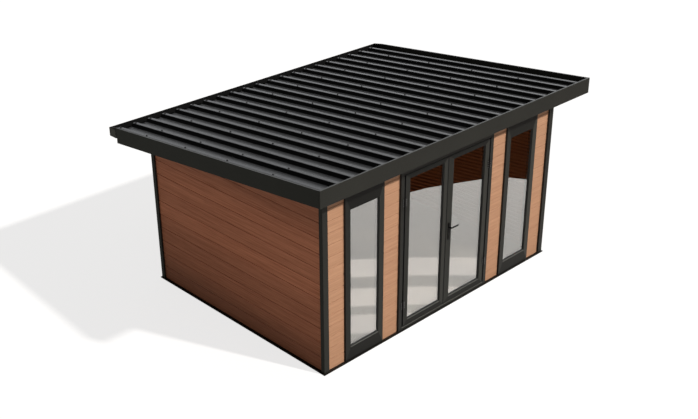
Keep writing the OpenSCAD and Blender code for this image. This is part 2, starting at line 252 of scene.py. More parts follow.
def coated_metal(name, colour, roughness, shine=0.18, light_gain_to_right=0):
    """Powder-coated metal: an even colour with a fine orange-peel grain and faint marks.

    light_gain_to_right is painted light: how much lighter the colour is made for each metre to the right.
    """
    finish, tree, shader = new_finish(name, roughness, Specular_IOR_Level=shine)
    spot = on_piece(tree)
    cloud = spread(noise(spot, 2.3, 3), 0.84, 1.16)
    dust = noise(spot, 38, 5)
    # Painted light: the colour grows lighter towards the right, where the frames look brighter.
    lit_to_right = plus(times(place(tree)[0], light_gain_to_right), 1)
    shade = times(times(cloud, spread(dust, 0.9, 1.1)), lit_to_right)
    feed(shader, Base_Color=tinted(colour, shade),
         Roughness=plus(spread(dust, -0.05, 0.05), roughness))
    raised(shader, noise(spot, 900, 2), 0.04 * MM)
    return finish


# How dark the outer boards are made at each height, as (height in metres, brightness): darker at the foot, partly
# from weather splash and partly as painted shade, and painted shade under the eaves.
SHADE_RAMP_TOP = 2.5
WEATHER_AND_SHADE_BY_HEIGHT = ((0, 0.67), (0.2, 0.69), (0.4, 0.87), (0.8, 0.88), (0.95, 0.98), (1.4, 1.03),
              (1.7, 0.86), (1.875, 0.68))


def boards(name, sizes, light, dark, roughness, relief, uneven, weathered_and_shaded=False):
    """Long-grained boards laid in level courses, each with a tone and grain of its own."""
    pitch, start = sizes[:2]
    finish, tree, shader = new_finish(name, roughness)
    x, y, z = place(tree)
    along = plus(x, y)
    course = math("FLOOR", math("DIVIDE", math("SUBTRACT", z, start), pitch))
    board = times(course, 3.7)
    draw = shader_node(tree, "TexWhiteNoise", {"W": board}, noise_dimensions="1D")
    chance = draw.outputs["Value"]
    shifted = plus(times(along, 0.9), times(chance, 9))
    figure = vector(shifted, times(z, 42), board)
    figure = noise(figure, 1.6, 6, 0.6)
    streak = vector(times(along, 5), times(z, 240), board)
    streak = noise(streak, 1, 3, 0.6)
    grain = plus(times(figure, 0.62), times(streak, 0.38))
    tone = spread(chance, 1 - uneven, 1 + uneven)
    # Painted shade, partly weather: the outer boards darken towards the foot and under the eaves.
    if weathered_and_shaded:
        stops = [(height / SHADE_RAMP_TOP, value) for height, value in WEATHER_AND_SHADE_BY_HEIGHT]
        tone = times(tone, greys(math("DIVIDE", z, SHADE_RAMP_TOP), *stops))
        shader.inputs["Specular IOR Level"].default_value = 0.25
    colour = ramp(grain, (0.36, dark), (0.64, light))
    feed(shader, Base_Color=tinted(colour, tone),
         Roughness=plus(spread(streak, -0.1, 0.1), roughness))
    raised(shader, streak, relief, 0.6)
    return finish


def ribbed_coating(name, colour):
    """Black coated roof steel with rain runs down the slope and a little dust, and painted shade that darkens the
    steep rib sides.
    """
    finish, tree, shader = new_finish(name, 0.28)
    spot = on_piece(tree)
    x, y, z = place(tree)
    runs = noise(vector(times(x, 60), times(y, 1.2), z), 1, 4)
    cloud = noise(spot, 1.7, 4)
    dust = times(spread(runs, 0.8, 1.2), spread(cloud, 0.7, 1.3))
    # Painted shade: faces that don't look up, the rib sides, keep only 0.15 of the colour, as if out of the light.
    dust = times(dust, spread(looking_up(tree), 0.15, 1))
    rough = plus(spread(runs, -0.04, 0.04), spread(cloud, 0.26, 0.32))
    feed(shader, Base_Color=tinted(colour, dust), Roughness=rough)
    raised(shader, noise(spot, 700, 2), 0.02 * MM)
    return finish


def sheet_board(name, light, dark, roughness):
    """A smooth board with a soft mottled face."""
    finish, tree, shader = new_finish(name, roughness)
    x, y, z = place(tree)
    spot = vector(times(x, 0.7), times(y, 6), z)
    tone = noise(spot, 3, 6, 0.6)
    feed(shader, Base_Color=ramp(tone, (0.32, dark), (0.68, light)))
    raised(shader, tone, 0.2 * MM, 0.5)
    return finish


def brushed_steel(name):
    """Satin steel with short brush marks."""
    finish, tree, shader = new_finish(name, 0.32, Metallic=1)
    x, y, z = place(tree)
    marks = vector(times(x, 30), y, times(z, 1400))
    tone = noise(marks, 1, 3)
    colour = ramp(tone, (0.3, (0.4, 0.4, 0.39)), (0.7, (0.55, 0.55, 0.54)))
    feed(shader, Base_Color=colour, Roughness=spread(tone, 0.26, 0.4))
    return finish


def rubber(name):
    """Black gasket rubber."""
    finish, tree, shader = new_finish(name, 0.75)
    spot = on_piece(tree)
    tone = noise(spot, 60, 4)
    colour = ramp(tone, (0.3, (0.006, 0.006, 0.006)), (0.7, (0.012, 0.012, 0.011)))
    feed(shader, Base_Color=colour)
    raised(shader, noise(spot, 1500, 2), 0.03 * MM)
    return finish


def window_glass(name, index):
    """Glass that lets lamps shine into the room. A high index stands for a mirroring coat."""
    finish, tree, shader = new_finish(name, 0, Transmission_Weight=1, IOR=index,
                                      Base_Color=(0.93, 0.95, 0.94, 1))
    shadow = shader_node(tree, "LightPath").outputs["Is Shadow Ray"]
    clear = lit(tree, "BsdfTransparent", (0.76, 0.77, 0.76, 1))
    feed(tree.nodes["Material Output"],
         Surface=either_shader(shadow, shader.outputs[0], clear))
    return finish


CEDAR_FRONT = boards("cedar_front", NARROW, (0.56, 0.31, 0.183), (0.425, 0.218, 0.122), 0.65,
                     0.2 * MM, 0.02)
# A redder, deeper copy of the front cedar for the sides and back: a painted shade tone, for the look of these
# boards in shade.
CEDAR_SIDE_SHADE_TONE = boards("cedar_side_shade_tone", BROAD, (0.65, 0.265, 0.148), (0.4, 0.135, 0.066), 0.62,
                    0.35 * MM, 0.06, True)
LINING = boards("lining_boards", LINING_SIZES, (0.36, 0.115, 0.045), (0.2, 0.055, 0.02), 0.5,
                0.2 * MM, 0.08)
FLOORING = boards("floor_boards", LINING_SIZES, (0.19, 0.15, 0.12), (0.12, 0.09, 0.07), 0.45,
                  0.2 * MM, 0.08)
# The frame coating in three copies: a darker one for the rails, which is painted shade, and a lighter one for the
# right-hand stiles, which is a painted highlight.
FRAME_BLACK, SHADED_RAIL_BLACK, LIT_STILE_BLACK = [
    coated_metal(name, colour, 0.42, light_gain_to_right=0.16) for name, colour in (
        ("frame_coating", (0.022, 0.0225, 0.0195)), ("rail_shaded_coating", (0.0085, 0.0088, 0.0076)),
        ("stile_lit_coating", (0.031, 0.0316, 0.0275)))]
TRIM_BLACK = coated_metal("trim_coating", (0.0225, 0.0228, 0.0195), 0.45)
# A lighter, glossier copy of the trim coating for the fascias' top faces: a painted highlight along their top
# edges.
LIT_TOP_BLACK = coated_metal("trim_top_highlight_coating", (0.03, 0.03, 0.027), 0.42, 0.8)
BASE_BLACK = coated_metal("base_coating", (0.012, 0.01, 0.008), 0.55, 0.15)
ROOF_BLACK = ribbed_coating("roof_coating", (0.018, 0.0182, 0.019))
# Lit and shaded copies of the gutter coating: a lighter one for the end caps, which is painted light, and a
# near-black one for the channel and brackets, which is painted shade.
LIT_CAP_BLACK = coated_metal("gutter_cap_lit_coating", (0.07, 0.072, 0.064), 0.45)
SHADED_CHANNEL_BLACK = coated_metal("channel_shaded_coating", (0.006, 0.006, 0.006), 0.6, 0.1)
HINGE_BLACK = coated_metal("hinge_coating", (0.01, 0.01, 0.01), 0.38, 0.35)
HANDLE_BLACK = coated_metal("handle_coating", (0.003, 0.003, 0.003), 0.4, 0.12)
PANEL_GREY = coated_metal("panel_skin_coating", (0.2, 0.2, 0.2), 0.5)
SOFFIT_BLACK = coated_metal("soffit_coating", (0.02, 0.019, 0.018), 0.55)
# Pale grey strips along lit front edges: painted highlights.
GLINT_GREY = coated_metal("glint_paint", (0.12, 0.12, 0.11), 0.45)
CEILING_PALE = sheet_board("ceiling_birch", (0.62, 0.52, 0.4), (0.5, 0.4, 0.29), 0.55)
STEEL = brushed_steel("brushed_steel")
SPACER = coated_metal("spacer_bar", (0.03, 0.03, 0.03), 0.5)
RUBBER = rubber("gasket_rubber")
GLASS = window_glass("coated_glass", 3)
INNER_GLASS = window_glass("clear_glass", 1.45)


# ------------ mesh helpers

def opened(mesh, weld=False):
    """A mesh's shape, to work on."""
    bm = bmesh.new()
    bm.from_mesh(mesh)
    if weld:
        bmesh.ops.remove_doubles(bm, verts=bm.verts, dist=1e-5)
    return bm


def closed(bm, mesh=None):
    """The shape put back in its mesh, or in a new one."""
    mesh = mesh or bpy.data.meshes.new("shape")
    bm.to_mesh(mesh)
    bm.free()
    return mesh


def as_mesh(bm, finish, smooth=False):
    """The shape as a mesh in one finish, with its faces turned outwards."""
    bmesh.ops.recalc_face_normals(bm, faces=bm.faces)
    for face in bm.faces:
        face.smooth = smooth
    mesh = closed(bm)
    mesh.materials.append(finish)
    return mesh


def bar(low, high, finish, ease=0, segments=2):
    """A rectangular bar between two corners, with its edges eased."""
    bm = bmesh.new()
    bmesh.ops.create_cube(bm, size=1)
    low, high = Vector(low), Vector(high)
    for vert in bm.verts:
        vert.co = Vector(low[i] + (vert.co[i] + 0.5) * (high[i] - low[i]) for i in range(3))
    if ease:
        bmesh.ops.bevel(bm, geom=bm.edges[:], offset=ease, segments=segments,
                        affect="EDGES", profile=0.5)
    return as_mesh(bm, finish)


def skin(bm, loops):
    """Faces from each closed loop to the next, and over both ends."""
    for near, far in zip(loops, loops[1:]):
        for i in range(len(near)):
            j = (i + 1) % len(near)
            bm.faces.new((near[i], near[j], far[j], far[i]))
    bm.faces.new(loops[0])
    bm.faces.new(reversed(loops[-1]))


def drawn(section, origin, u, v, run, finish):
    """A closed section of (u, v) points drawn out along a run, with its ends closed."""
    bm = bmesh.new()
    near = [bm.verts.new(origin + u * a + v * b) for a, b in section]
    skin(bm, [near, [bm.verts.new(vert.co + run) for vert in near]])
    return as_mesh(bm, finish)


def turned(outline, centre, axis, finish, steps):
    """An outline of (radius, height) points turned about an axis, closed at both ends."""
    bm = bmesh.new()
    side = axis.orthogonal().normalized()
    spokes = [Matrix.Rotation(2 * pi * n / steps, 3, axis) @ side for n in range(steps)]
    skin(bm, [[bm.verts.new(centre + axis * height + spoke * radius) for spoke in spokes]
              for radius, height in outline])
    return as_mesh(bm, finish, True)


def oblong(u0, v0, u1, v1):
    """The corners of a rectangle between two of them."""
    return [(u0, v0), (u1, v0), (u1, v1), (u0, v1)]


def bend(start, corner, end, steps):
    """Points on a curve from start to end that a corner pulls out."""
    return [tuple((1 - t) ** 2 * start + 2 * t * (1 - t) * corner + t * t * end)
            for t in (n / steps for n in range(steps + 1))]


def softened(points, radius, steps=4):
    """A closed section of (u, v) points with its corners rounded, as far as there is room."""
    made = []
    for i, here in enumerate(points):
        before, after = points[i - 1], points[(i + 1) % len(points)]
        here, before, after = Vector(here), Vector(before), Vector(after)
        back, on = before - here, after - here
        r = min(radius, back.length * 0.45, on.length * 0.45)
        made += bend(here + back.normalized() * r, here, here + on.normalized() * r, steps)
    return made


def gather(meshes):
    """Several meshes as one, each keeping its finish."""
    finishes, bm = [], bmesh.new()
    for mesh in meshes:
        first = len(bm.faces)
        bm.from_mesh(mesh)
        bm.faces.ensure_lookup_table()
        for face in bm.faces[first:]:
            finish = mesh.materials[face.material_index]
            if finish not in finishes:
                finishes.append(finish)
            face.material_index = finishes.index(finish)
    made = closed(bm)
    for finish in finishes:
        made.materials.append(finish)
    return made


def shown(name, data):
    """A new object in the scene."""
    made = bpy.data.objects.new(name, data)
    SCENE.collection.objects.link(made)
    return made


def set_piece(name, meshes, node, stands_for=False):
    """Puts meshes in the scene as one piece that rides with a construction node.

    It takes the node's place where it stands for it.
    """
    piece = shown(name, gather(meshes))
    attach(piece, BODY_OF[node])
    if stands_for:
        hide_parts(node)


def stand_in(name, meshes, node):
    set_piece(name, meshes, node, True)


def slice_away(bm, point, normal):
    """Removes what lies on the normal's side of a plane."""
    geometry = bm.verts[:] + bm.edges[:] + bm.faces[:]
    bmesh.ops.bisect_plane(bm, geom=geometry, plane_co=point, plane_no=normal, clear_outer=True)


def cut_off(mesh, point, normal):
    """Cuts away what lies on the normal's side of a plane, and closes the cut."""
    bm = opened(mesh)
    slice_away(bm, point, normal)
    open_edges = [edge for edge in bm.edges if edge.is_boundary]
    if open_edges:
        bmesh.ops.holes_fill(bm, edges=open_edges, sides=0)
    closed(bm, mesh)


def eased_copy(node, finish, ease):
    """The shape of a construction node with its sharp edges rounded."""
    bm = opened(frame["nodes"][node].data, weld=True)
    bmesh.ops.dissolve_limit(bm, angle_limit=radians(1), verts=bm.verts, edges=bm.edges)
    sharp = [edge for edge in bm.edges
             if len(edge.link_faces) == 2 and edge.calc_face_angle() > radians(30)]
    bmesh.ops.bevel(bm, geom=sharp, offset=ease, segments=2, affect="EDGES", profile=0.5,
                    clamp_overlap=True)
    return as_mesh(bm, finish)


# ------------ rows, by geometry nodes

def row_tree():
    """Sets a piece down in a straight row of equal steps, each turned a little at random."""
    tree = bpy.data.node_groups.new("equal_row", "GeometryNodeTree")
    face = tree.interface
    face.new_socket("Geometry", in_out="OUTPUT", socket_type="NodeSocketGeometry")
    face.new_socket("Piece", in_out="INPUT", socket_type="NodeSocketGeometry")
    kinds = {"Count": "NodeSocketInt", "Step": "NodeSocketVector", "Turn": "NodeSocketFloat",
             "Seed": "NodeSocketInt", "Finish": "NodeSocketMaterial"}
    sockets = {name: face.new_socket(name, in_out="INPUT", socket_type=kind).identifier
               for name, kind in kinds.items()}

    def linked(kind, inputs):
        made = tree.nodes.new(kind)
        for name, socket in inputs.items():
            tree.links.new(socket, made.inputs[name])
        return made.outputs

    given = linked("NodeGroupInput", {})
    line = linked("GeometryNodeMeshLine", {"Count": given["Count"], "Offset": given["Step"]})
    chance = linked("FunctionNodeRandomValue", {3: given["Turn"], "Seed": given["Seed"]})
    turn = linked("ShaderNodeCombineXYZ", {"Z": chance[1]})
    copies = linked("GeometryNodeInstanceOnPoints",
                    {"Points": line[0], "Instance": given["Piece"], "Rotation": turn[0]})
    whole = linked("GeometryNodeRealizeInstances", {0: copies[0]})
    coated = linked("GeometryNodeSetMaterial", {0: whole[0], "Material": given["Finish"]})
    linked("NodeGroupOutput", {0: coated[0]})
    return tree, sockets


ROW_TREE, ROW_SOCKETS = row_tree()


def in_row(mesh, count, step, turn=0.0, seed=0):
    """A mesh set down count times, a step apart, as one plain mesh in the same finish."""
    holder = shown("row", mesh)
    row = holder.modifiers.new("Row", "NODES")
    row.node_group = ROW_TREE
    values = {"Count": count, "Step": tuple(step), "Turn": turn, "Seed": seed,
              "Finish": mesh.materials[0]}
    for name, value in values.items():
        row[ROW_SOCKETS[name]] = value
    graph = bpy.context.evaluated_depsgraph_get()
    made = bpy.data.meshes.new_from_object(holder.evaluated_get(graph), depsgraph=graph)
    holder.modifiers.remove(row)
    bpy.data.objects.remove(holder)
    return made


# ------------ walls

def courses(start, end, top, sizes, finish):
    """Level boards from start to end, with the wall's body on their left-hand side.

    Each board has eased edges and a sunk tongue at its foot that makes the groove.
    """
    pitch, first, thick, groove, depth, ease = sizes
    bow = ease * BOW
    section = [(thick, 0), (depth, 0), (depth, groove), (ease, groove), (bow, groove + bow),
               (0, groove + ease), (0, pitch - ease), (bow, pitch - bow), (ease, pitch),
               (thick, pitch)]
    run = Vector((*end, 0)) - Vector((*start, 0))
    inward = Vector((-run.y, run.x, 0)).normalized()
    one = drawn(section, Vector((*start, first)), inward, Z, run, finish)
    return in_row(one, ceil((top - first) / pitch), Z * pitch)


def wall(node, core, outside, inside, sizes=BROAD, cladding=CEDAR_SIDE_SHADE_TONE):
    """A wall panel: insulated core, cladding boards outside and lining boards inside."""
    low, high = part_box(node)
    layers = [drawn(core, Z * low.z, X, Y, Z * (high.z - low.z), LINING),
              courses(*outside, high.z, sizes, cladding),
              courses(*inside, high.z, LINING_SIZES, LINING)]
    for layer in layers:
        cut_off(layer, Z * low.z, -Z)
        cut_off(layer, Z * high.z, Z)
        cut_off(layer, Vector((0, EAVES[0].y, CEILING_Z)), ROOF_NORMAL)
    stand_in(node + "_panel", layers, node)


def side_walls():
    for node, side in (("left_wall", -1), ("right_wall", 1)):
        low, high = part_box(node)
        face, room = (low.x, high.x) if side < 0 else (high.x, low.x)
        near, far = (high.y, low.y) if side < 0 else (low.y, high.y)
        board, lining = face - side * BOARD_T, room + side * LINING_T
        wall(node, oblong(board, low.y, lining, high.y), ((face, near), (face, far)),
             ((room, far), (room, near)))


def back_wall():
    low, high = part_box("back_wall")
    board, lining, y_post = high.y - BOARD_T, low.y + LINING_T, SIDE[1].y
    core = [(low.x, board), (low.x, y_post), (ROOM[0], y_post), (ROOM[0], lining),
            (ROOM[1], lining), (ROOM[1], y_post), (high.x, y_post), (high.x, board)]
    wall("back_wall", core, ((high.x, high.y), (low.x, high.y)),
         ((ROOM[0], low.y), (ROOM[1], low.y)))


def front_wall(node, core, x0, x1):
    """A panel of the front, with its lining from x0 to x1."""
    low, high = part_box(node)
    wall(node, core, ((low.x, low.y), (high.x, low.y)), ((x1, high.y), (x0, high.y)),
         NARROW, CEDAR_FRONT)


def front_walls():
    """The header over the windows and the door, and the clad strips beside them."""
    low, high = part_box("front_header")
    board, lining, y_post = low.y + BOARD_T, high.y - LINING_T, SIDE[0].y
    core = [(low.x, board), (high.x, board), (high.x, y_post), (ROOM[1], y_post),
            (ROOM[1], lining), (ROOM[0], lining), (ROOM[0], y_post), (low.x, y_post)]
    front_wall("front_header", core, *ROOM)
    for side, part in ((-1, "left"), (1, "right")):
        low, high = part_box("inner_pier_" + part)
        core = oblong(low.x, board, high.x, lining)
        front_wall("inner_pier_" + part, core, low.x, high.x)
        low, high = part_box("outer_pier_" + part)
        post, window, room = ((low.x, high.x, ROOM[0]) if side < 0 else
                              (high.x, low.x, ROOM[1]))
        core = [(window, board), (post, board), (post, y_post), (room, y_post),
                (room, lining), (window, lining)]
        front_wall("outer_pier_" + part, core, *sorted((window, room)))


# ------------ frames and glass

def framed(outer, sight, section, finish, sides="BRTL", paints=None):
    """Mitred members round an opening, a hair apart at their joints.

    outer and sight are (x0, x1, z0, z1). A section point is (edge, inset, y): edge 0 counts
    its inset inwards from the outer rectangle and edge 1 outwards from the sight rectangle.
    Without a bottom member the uprights end square. paints holds members' own finishes.
    """
    corners = [(0, 2), (1, 2), (1, 3), (0, 3)]
    members = {"B": (0, 1), "R": (1, 2), "T": (2, 3), "L": (3, 0)}
    upright = "B" not in sides

    def ring(n):
        points = []
        for edge, inset, y in section:
            box, inwards = ((outer, inset), (sight, -inset))[edge]
            x, z = [box[i] + (-inwards if i % 2 else inwards) for i in corners[n]]
            points.append(Vector((x, y, outer[2] if upright and n < 2 else z)))
        return points

    made = []
    for side in sides:
        near, far = [ring(n) for n in members[side]]
        pull = (far[0] - near[0]).normalized() * MITRE_GAP
        bm = bmesh.new()
        skin(bm, [[bm.verts.new(point + pull) for point in near],
                  [bm.verts.new(point - pull) for point in far]])
        made.append(as_mesh(bm, (paints or {}).get(side, finish)))
    return made


def grown(box, by):
    """A rectangle (x0, x1, z0, z1) made larger on every side."""
    return box[0] - by, box[1] + by, box[2] - by, box[3] + by


def face_strip(x0, x1, face, z0, z1, finish, ease, sunk=SUNK):
    """A thin strip let into a front face, and standing a little proud of it."""
    return bar((x0, face - PROUD, z0), (x1, face + sunk, z1), finish, ease)


def eased_front(y):
    """The front of a frame member, with its outer and sight edges eased."""
    ease, bow = FRAME_EASE, FRAME_EASE * BOW
    return [(0, 0, y + ease), (0, bow, y + bow), (0, ease, y),
            (1, ease, y), (1, bow, y + bow), (1, 0, y + ease)]


def glazing_section(front, back, glass):
    """An eased frame member with a groove for the sealed unit."""
    ease, bow, bite = FRAME_EASE, FRAME_EASE * BOW, GLASS_BITE
    return [(0, 0, back - ease), *eased_front(front),
            (1, 0, glass[0]), (1, bite, glass[0]), (1, bite, glass[1]), (1, 0, glass[1]),
            (1, 0, back - ease), (1, bow, back - bow), (1, ease, back),
            (0, ease, back), (0, bow, back - bow)]


def gasket_section(face, way, reach=5 * MM, rise=6 * MM):
    """A wedge gasket lying on the glass against the sight edge. way is -1 outside, 1 inside."""
    lip = 0.6 * MM
    return [(1, LAP, face), (1, LAP, face + way * rise), (1, -reach * 0.35, face + way * rise),
            (1, -reach * 0.85, face + way * rise * 0.55), (1, -reach, face + way * lip),
            (1, -reach, face)]


def glazed(kind, frame_node, glass_node):
    """The seals, panes, spacer and members of one window or leaf, with a black liner that paints shade over the
    reveal.
    """
    low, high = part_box(frame_node)
    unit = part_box(glass_node)
    front, back = unit[0].y, unit[1].y
    outer = (low.x, high.x, low.z, high.z)
    edge = (unit[0].x, unit[1].x, unit[0].z, unit[1].z)
    sight = grown(edge, -GLASS_BITE)
    # Rails take the painted-shade copy of the coating and right-hand stiles the painted-highlight copy.
    members = framed(outer, sight, glazing_section(low.y, high.y, (front, back)), FRAME_BLACK,
                     paints={"B": SHADED_RAIL_BLACK, "T": SHADED_RAIL_BLACK, "R": LIT_STILE_BLACK})
    # A pale strip on the bottom member's front at the sight edge: a painted highlight.
    members.append(face_strip(sight[0], sight[1], low.y, sight[2] - 6 * MM, sight[2] + 2 * MM,
                              GLINT_GREY, 0.5 * MM, SETBACK))
    # Painted shade: a black liner over the reveal, from just behind the face to the glass.
    reveal_liner_shade = [(1, LAP, low.y + SETBACK), (1, -LINER_T, low.y + SETBACK), (1, -LINER_T, front),
             (1, LAP, front)]
    dark_strips = []
    for section in (gasket_section(front, -1, 9 * MM, 10 * MM), gasket_section(back, 1), reveal_liner_shade):
        dark_strips += framed(outer, sight, section, RUBBER)
    panes = [bar((unit[0].x, y, unit[0].z), (unit[1].x, y + PANE_T, unit[1].z), finish)
             for y, finish in ((front, GLASS), (back - PANE_T, INNER_GLASS))]
    section = [(0, 0, front + PANE_T), (1, -SPACER_W, front + PANE_T),
               (1, -SPACER_W, back - PANE_T), (0, 0, back - PANE_T)]
    spacer = framed(edge, grown(sight, SPACER_W), section, SPACER)
    part = frame_node.split("_")[-1]
    for what, meshes, node, stands_for in (
            ("gaskets", dark_strips, frame_node, False), ("panes", panes, glass_node, True),
            ("spacer", spacer, frame_node, False), ("members", members, frame_node, True)):
        set_piece("%s_%s_%s" % (kind, what, part), meshes, node, stands_for)


def windows():
    for part in ("left", "right"):
        glazed("window", "window_frame_" + part, "window_glass_" + part)


def shade_strips_by_frames():
    """Black strips along the side faces of the frames and front posts, where they stand proud of the cladding:
    painted shade on these faces, drawn as sealant.
    """
    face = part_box("front_header")[0].y
    wide = 1.2 * MM
    for node in ("window_frame_left", "window_frame_right", "door_frame",
                 "corner_post_front_left", "corner_post_front_right"):
        low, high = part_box(node)
        strips = []
        for x, way in ((low.x, -1), (high.x, 1)):
            if abs(x) < abs(SIDE[0].x):
                x0, x1 = sorted((x - way * LAP, x + way * wide))
                strips.append(bar((x0, low.y + SETBACK, low.z), (x1, face + SUNK, high.z), RUBBER))
        set_piece(node + "_side_shade", strips, node)


def door_leaves():
    """Both leaves, with black strips on their faces along the edges, narrow at the hinges and wider where they
    meet: painted shade that darkens the gaps round the leaves.
    """
    for part in ("left", "right"):
        glazed("leaf", "door_leaf_" + part, "door_glass_" + part)
    at_hinges, at_meeting, short = mm(6, 9, 3)
    for part, edges in (("left", ((-1, at_hinges), (1, at_meeting))), ("right", ((1, at_hinges),))):
        node = "door_leaf_" + part
        low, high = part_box(node)
        dark_strips = []
        for side, wide in edges:
            edge = low.x if side < 0 else high.x
            x0, x1 = sorted((edge - side * LAP, edge - side * wide))
            dark_strips.append(face_strip(x0, x1, low.y, low.z + short, high.z - short, RUBBER, 0.3 * MM))
        set_piece("leaf_edge_seals_" + part, dark_strips, node)


def door_surround():
    """The door frame with its stop, black linings over the faces of its gaps and strips on the jambs' front edges,
    which paint shade in the channel round the leaves, and the seal on its stop.
    """
    low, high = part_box("door_frame")
    leaf = (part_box("door_leaf_left")[0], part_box("door_leaf_right")[1])
    stop_y = leaf[1].y + STOP_GAP
    outer = (low.x, high.x, low.z, high.z)
    jambs = (leaf[0].x - HINGE_GAP, leaf[1].x + HINGE_GAP, low.z, leaf[1].z + HEAD_GAP)
    ease, bow = FRAME_EASE, FRAME_EASE * BOW
    section = [(0, 0, high.y - ease), *eased_front(low.y), (1, 0, stop_y),
               (1, ease - STOP_REACH, stop_y), (1, -STOP_REACH, stop_y + ease),
               (1, -STOP_REACH, high.y - ease), (1, ease - STOP_REACH, high.y),
               (0, ease, high.y), (0, bow, high.y - bow)]
    members = framed(outer, jambs, section, FRAME_BLACK, "RTL")
    stand_in("door_frame_members", members, "door_frame")

    lap, near, wide, bulb = mm(0.1, 0.3, 7, 4)
    flap = 11 * MM - STOP_REACH
    # Painted shade: black lining over the jambs, head and stop where they face the leaves.
    section = [(1, lap, low.y + SETBACK), (1, -LINER_T, low.y + SETBACK),
               (1, -LINER_T, stop_y - LINER_T), (1, flap, stop_y - LINER_T), (1, flap, stop_y),
               (1, lap, stop_y)]
    lining = framed(outer, jambs, section, RUBBER, "RTL")
    # Painted shade: black strips on the jambs' front faces beside the gaps.
    section = [(1, wide, low.y - PROUD), (1, near, low.y - PROUD), (1, near, low.y + SUNK),
               (1, wide, low.y + SUNK)]
    lining += framed(outer, jambs, section, RUBBER, "RL")
    set_piece("door_gap_shade_lining", lining, "door_frame")

    section = [(1, inset * MM - STOP_REACH, stop_y - rise) for inset, rise in (
        (3, -lap), (3, bulb * 0.6), (5, bulb), (8, bulb), (10, bulb * 0.6), (10, -lap))]
    set_piece("door_seal", framed(outer, jambs, section, RUBBER, "RTL"), "door_frame")


def threshold():
    """Low under the leaves, with a pale strip along its front top edge that paints a highlight there, and rising
    behind them with grip ribs.
    """
    low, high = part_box("door_threshold")
    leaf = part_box("door_leaf_left")
    stop_y, step = leaf[1].y + STOP_GAP, leaf[0].z - HEAD_GAP
    section = softened(oblong(low.y, low.z, stop_y, step), 1.5 * MM)
    front = drawn(section, X * low.x, Y, Z, X * (high.x - low.x), FRAME_BLACK)
    x0, x1 = low.x + STOP_REACH, high.x - STOP_REACH
    rear = bar((x0, stop_y, low.z), (x1, high.y, high.z), FRAME_BLACK, 1.2 * MM)
    rib = bar((x0 + 4 * MM, stop_y + 12 * MM, high.z - SUNK),
              (x1 - 4 * MM, stop_y + 15 * MM, high.z + 0.8 * MM), FRAME_BLACK, 0.4 * MM)
    ribs = in_row(rib, 4, Y * 7 * MM)
    # A painted highlight: a pale strip along the front top edge.
    painted_glint = face_strip(low.x + 2 * MM, high.x - 2 * MM, low.y, step - 12 * MM, step - 5 * MM,
                        GLINT_GREY, 0.5 * MM)
    stand_in("threshold_profile", [front, rear, ribs, painted_glint], "door_threshold")


# ------------ posts, base, trims

def plain_pieces():
    """Folded and cast pieces that keep the construction's shape with their edges rounded."""
    sides = ("front", "back", "left", "right")
    posts = ["corner_post_%s_%s" % (end, part) for end in sides[:2] for part in sides[2:]]
    fascias, rails = [[kind + side for side in sides] for kind in ("fascia_", "base_rail_")]
    for nodes, finish, ease in ((posts, TRIM_BLACK, 1.8 * MM), (fascias, TRIM_BLACK, 2 * MM),
                                (rails, BASE_BLACK, 2 * MM),
                                (["gutter_brackets"], SHADED_CHANNEL_BLACK, 0.8 * MM),
                                (["roof_panel"], PANEL_GREY, 1.5 * MM)):
        for node in nodes:
            folded = eased_copy(node, finish, ease)
            if node in fascias:
                # The fascias' top faces take the lighter copy: a painted highlight.
                folded.materials.append(LIT_TOP_BLACK)
                for face in folded.polygons:
                    face.material_index = int(face.normal.z > UPWARD)
            stand_in(node + "_eased", [folded], node)
    channel = eased_copy("gutter", SHADED_CHANNEL_BLACK, 0.8 * MM)
    low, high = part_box("gutter")
    for x, way in ((low.x, -X), (high.x, X)):
        cut_off(channel, X * x - way * (CAP_T + CAP_PLAY), way)
    stand_in("gutter_channel", [channel], "gutter")


def room_floor():
    """Floor panel with boards laid along the front, their ends staggered."""
    low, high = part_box("floor")
    board_w, board_t, gap = mm(190, 9, 1)
    layers = [bar(low, (high.x, high.y, high.z - board_t), FLOORING)]
    rows = ceil((high.y - low.y) / board_w)
    for parity, split in ((0, 0.38), (1, 0.71)):
        joint = low.x + (high.x - low.x) * split
        y0 = low.y + parity * board_w
        for x0, x1 in ((low.x, joint - gap), (joint, high.x)):
            one = bar((x0, y0, high.z - board_t), (x1, y0 + board_w - gap, high.z), FLOORING,
                      0.8 * MM, 1)
            layers.append(in_row(one, ceil((rows - parity) / 2), Y * 2 * board_w))
    for layer in layers:
        cut_off(layer, Y * high.y, Y)
    stand_in("floor_boards", layers, "floor")


def ceiling_boards():
    """Pale sheets over the room, with black soffit boards round them outside the walls."""
    low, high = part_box("ceiling")
    thick = high.z - low.z - (high.y - low.y) * FALL
    wall_x, y0, y1 = SIDE[0].x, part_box("front_header")[0].y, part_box("back_wall")[1].y
    gap, sheets = 0.8 * MM, 3

    def slab(x0, x1, y0, y1, finish):
        z0, z1 = [roof_z(y) - FASCIA_H for y in (y0, y1)]
        section = [(y0, z0), (y1, z1), (y1, z1 + thick), (y0, z0 + thick)]
        return drawn(section, X * x0, Y, Z, X * (x1 - x0), finish)

    width = -2 * wall_x / sheets
    starts = [wall_x + n * width for n in range(sheets)]
    layers = [slab(x + gap, x + width - gap, y0, y1, CEILING_PALE) for x in starts]
    layers += [slab(low.x, high.x, low.y, y0 - gap, SOFFIT_BLACK),
               slab(low.x, high.x, y1 + gap, high.y, SOFFIT_BLACK),
               slab(low.x, wall_x - gap, y0, y1, SOFFIT_BLACK),
               slab(-wall_x + gap, high.x, y0, y1, SOFFIT_BLACK)]
    stand_in("ceiling_and_soffit", layers, "ceiling")


# ------------ roof sheet

